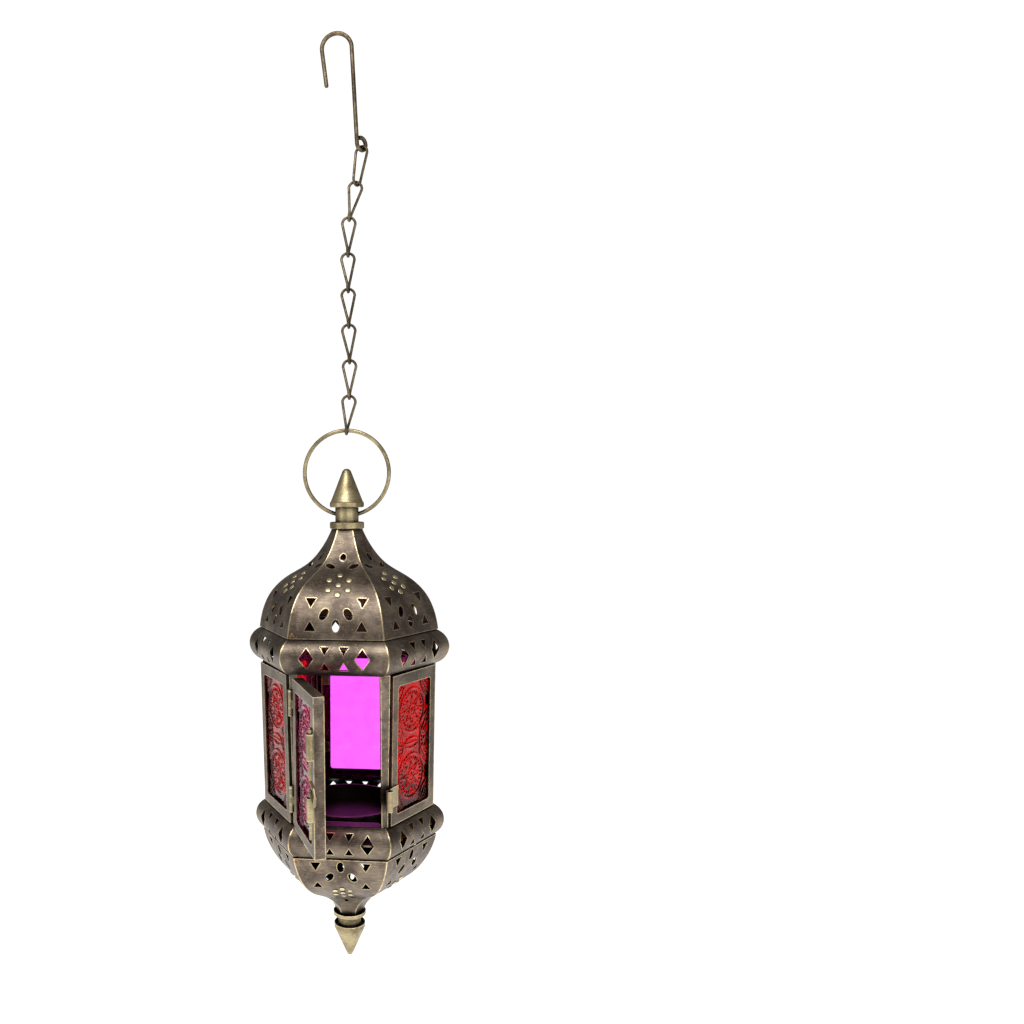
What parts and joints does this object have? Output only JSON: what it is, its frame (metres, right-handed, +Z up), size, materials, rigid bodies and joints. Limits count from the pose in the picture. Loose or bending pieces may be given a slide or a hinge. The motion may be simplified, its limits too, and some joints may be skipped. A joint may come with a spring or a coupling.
{
  "type": "hanging candle lantern",
  "caption": "Hanging six-sided candle lantern in pierced bronze sheet with coloured pressed glass, a latched door, a round candle pan, and a hook and link chain.",
  "frame": {"origin": "the seat inside the top of the hook's crook, where a rail or nail carries it", "axes": "+Z up along the chain, -Y out through the door side, +X to the right seen from the door side"},
  "size_m": [0.112, 0.1489, 0.5102],
  "materials": {
    "antique_bronze": "dark antique bronze, brushed back to gold on ridges, rims and hole edges",
    "antique_brass": "aged brass, satin",
    "dark_wire": "dark antique bronze wire, lightly worn",
    "copper_rivet": "copper-coloured, satin",
    "glass_red": "pressed red glass with raised relief",
    "glass_amber": "pressed amber glass with raised relief",
    "glass_magenta": "pressed pink glass with raised relief"
  },
  "bodies": {
    "hook": {"hook": "dark_wire"},
    "link_1": {"chain_link_1": "dark_wire"},
    "link_2": {"chain_link_2": "dark_wire"},
    "link_3": {"chain_link_3": "dark_wire"},
    "link_4": {"chain_link_4": "dark_wire"},
    "link_5": {"chain_link_5": "dark_wire"},
    "link_6": {"chain_link_6": "dark_wire"},
    "link_7": {"chain_link_7": "dark_wire"},
    "link_8": {"chain_link_8": "dark_wire"},
    "ring": {"carrying_ring": "antique_brass"},
    "lantern": {"finial_top": "antique_brass", "roof_panel_1": "antique_bronze", "roof_panel_2": "antique_bronze", "roof_panel_3": "antique_bronze", "roof_panel_4": "antique_bronze", "roof_panel_5": "antique_bronze", "roof_panel_6": "antique_bronze", "upper_band_1": "antique_bronze", "upper_band_2": "antique_bronze", "upper_band_3": "antique_bronze", "upper_band_4": "antique_bronze", "upper_band_5": "antique_bronze", "upper_band_6": "antique_bronze", "corner_posts": "antique_bronze", "side_frame_1": "antique_bronze", "side_frame_2": "antique_bronze", "side_frame_3": "antique_bronze", "side_frame_4": "antique_bronze", "side_frame_5": "antique_bronze", "side_glass_1": "glass_red", "side_glass_2": "glass_amber", "side_glass_3": "glass_magenta", "side_glass_4": "glass_red", "side_glass_5": "glass_red", "lower_band_1": "antique_bronze", "lower_band_2": "antique_bronze", "lower_band_3": "antique_bronze", "lower_band_4": "antique_bronze", "lower_band_5": "antique_bronze", "lower_band_6": "antique_bronze", "bowl_panel_1": "antique_bronze", "bowl_panel_2": "antique_bronze", "bowl_panel_3": "antique_bronze", "bowl_panel_4": "antique_bronze", "bowl_panel_5": "antique_bronze", "bowl_panel_6": "antique_bronze", "finial_bottom": "antique_brass", "floor_plate": "antique_bronze", "door_sill": "antique_bronze", "candle_pan": "antique_bronze", "latch_keeper": "antique_brass", "hinge_knuckles_fixed": "antique_brass", "hinge_pins": "antique_brass", "rivets": "copper_rivet"},
    "door": {"door_frame": "antique_bronze", "door_glass": "glass_magenta", "hinge_knuckles_door": "antique_brass", "latch_guides": "antique_brass"},
    "bolt": {"latch_bolt": "antique_brass"}
  },
  "joints": [
    {"name": "link_1_swing", "type": "hinge", "parent": "hook", "child": "link_1", "pos_m": [0.0131, 0, -0.06419], "axis": [0.4162, 0.9063, -0.0734], "range_deg": [-15, 15]},
    {"name": "link_2_swing", "type": "hinge", "parent": "link_1", "child": "link_2", "pos_m": [0.01068, 0, -0.07788], "axis": [0.8925, -0.4226, -0.1574], "range_deg": [-25, 25]},
    {"name": "link_3_swing", "type": "hinge", "parent": "link_2", "child": "link_3", "pos_m": [0.00594, 0, -0.10246], "axis": [0, 1, 0], "range_deg": [-25, 25]},
    {"name": "link_4_swing", "type": "hinge", "parent": "link_3", "child": "link_4", "pos_m": [0.00545, 0, -0.11635], "axis": [0.9994, 0, -0.0349], "range_deg": [-25, 25]},
    {"name": "link_5_swing", "type": "hinge", "parent": "link_4", "child": "link_5", "pos_m": [0.00534, 0, -0.14141], "axis": [0, 1, 0], "range_deg": [-25, 25]},
    {"name": "link_6_swing", "type": "hinge", "parent": "link_5", "child": "link_6", "pos_m": [0.00547, 0, -0.15531], "axis": [1, 0, 0.0087], "range_deg": [-25, 25]},
    {"name": "link_7_swing", "type": "hinge", "parent": "link_6", "child": "link_7", "pos_m": [0.0058, 0, -0.18037], "axis": [0, 1, 0], "range_deg": [-25, 25]},
    {"name": "link_8_swing", "type": "hinge", "parent": "link_7", "child": "link_8", "pos_m": [0.00556, 0, -0.19426], "axis": [0.9998, 0, -0.0175], "range_deg": [-25, 25]},
    {"name": "ring_swing", "type": "hinge", "parent": "link_8", "child": "ring", "pos_m": [0.00411, 0, -0.21368], "axis": [0.9962, 0, -0.0872], "range_deg": [-25, 25]},
    {"name": "lantern_swing", "type": "hinge", "parent": "ring", "child": "lantern", "pos_m": [0.0038, 0, -0.2617], "axis": [1, 0, 0], "range_deg": [-80, 80]},
    {"name": "door_hinge", "type": "hinge", "parent": "lantern", "child": "door", "pos_m": [-0.0207, -0.04307, -0.38194], "axis": [0, 0.0243, -0.9997], "range_deg": [-67, 80]},
    {"name": "bolt_slide", "type": "slide", "parent": "door", "child": "bolt", "axis": [0, -0.0243, 0.9997], "range_m": [0, 0.008]}
  ]
}
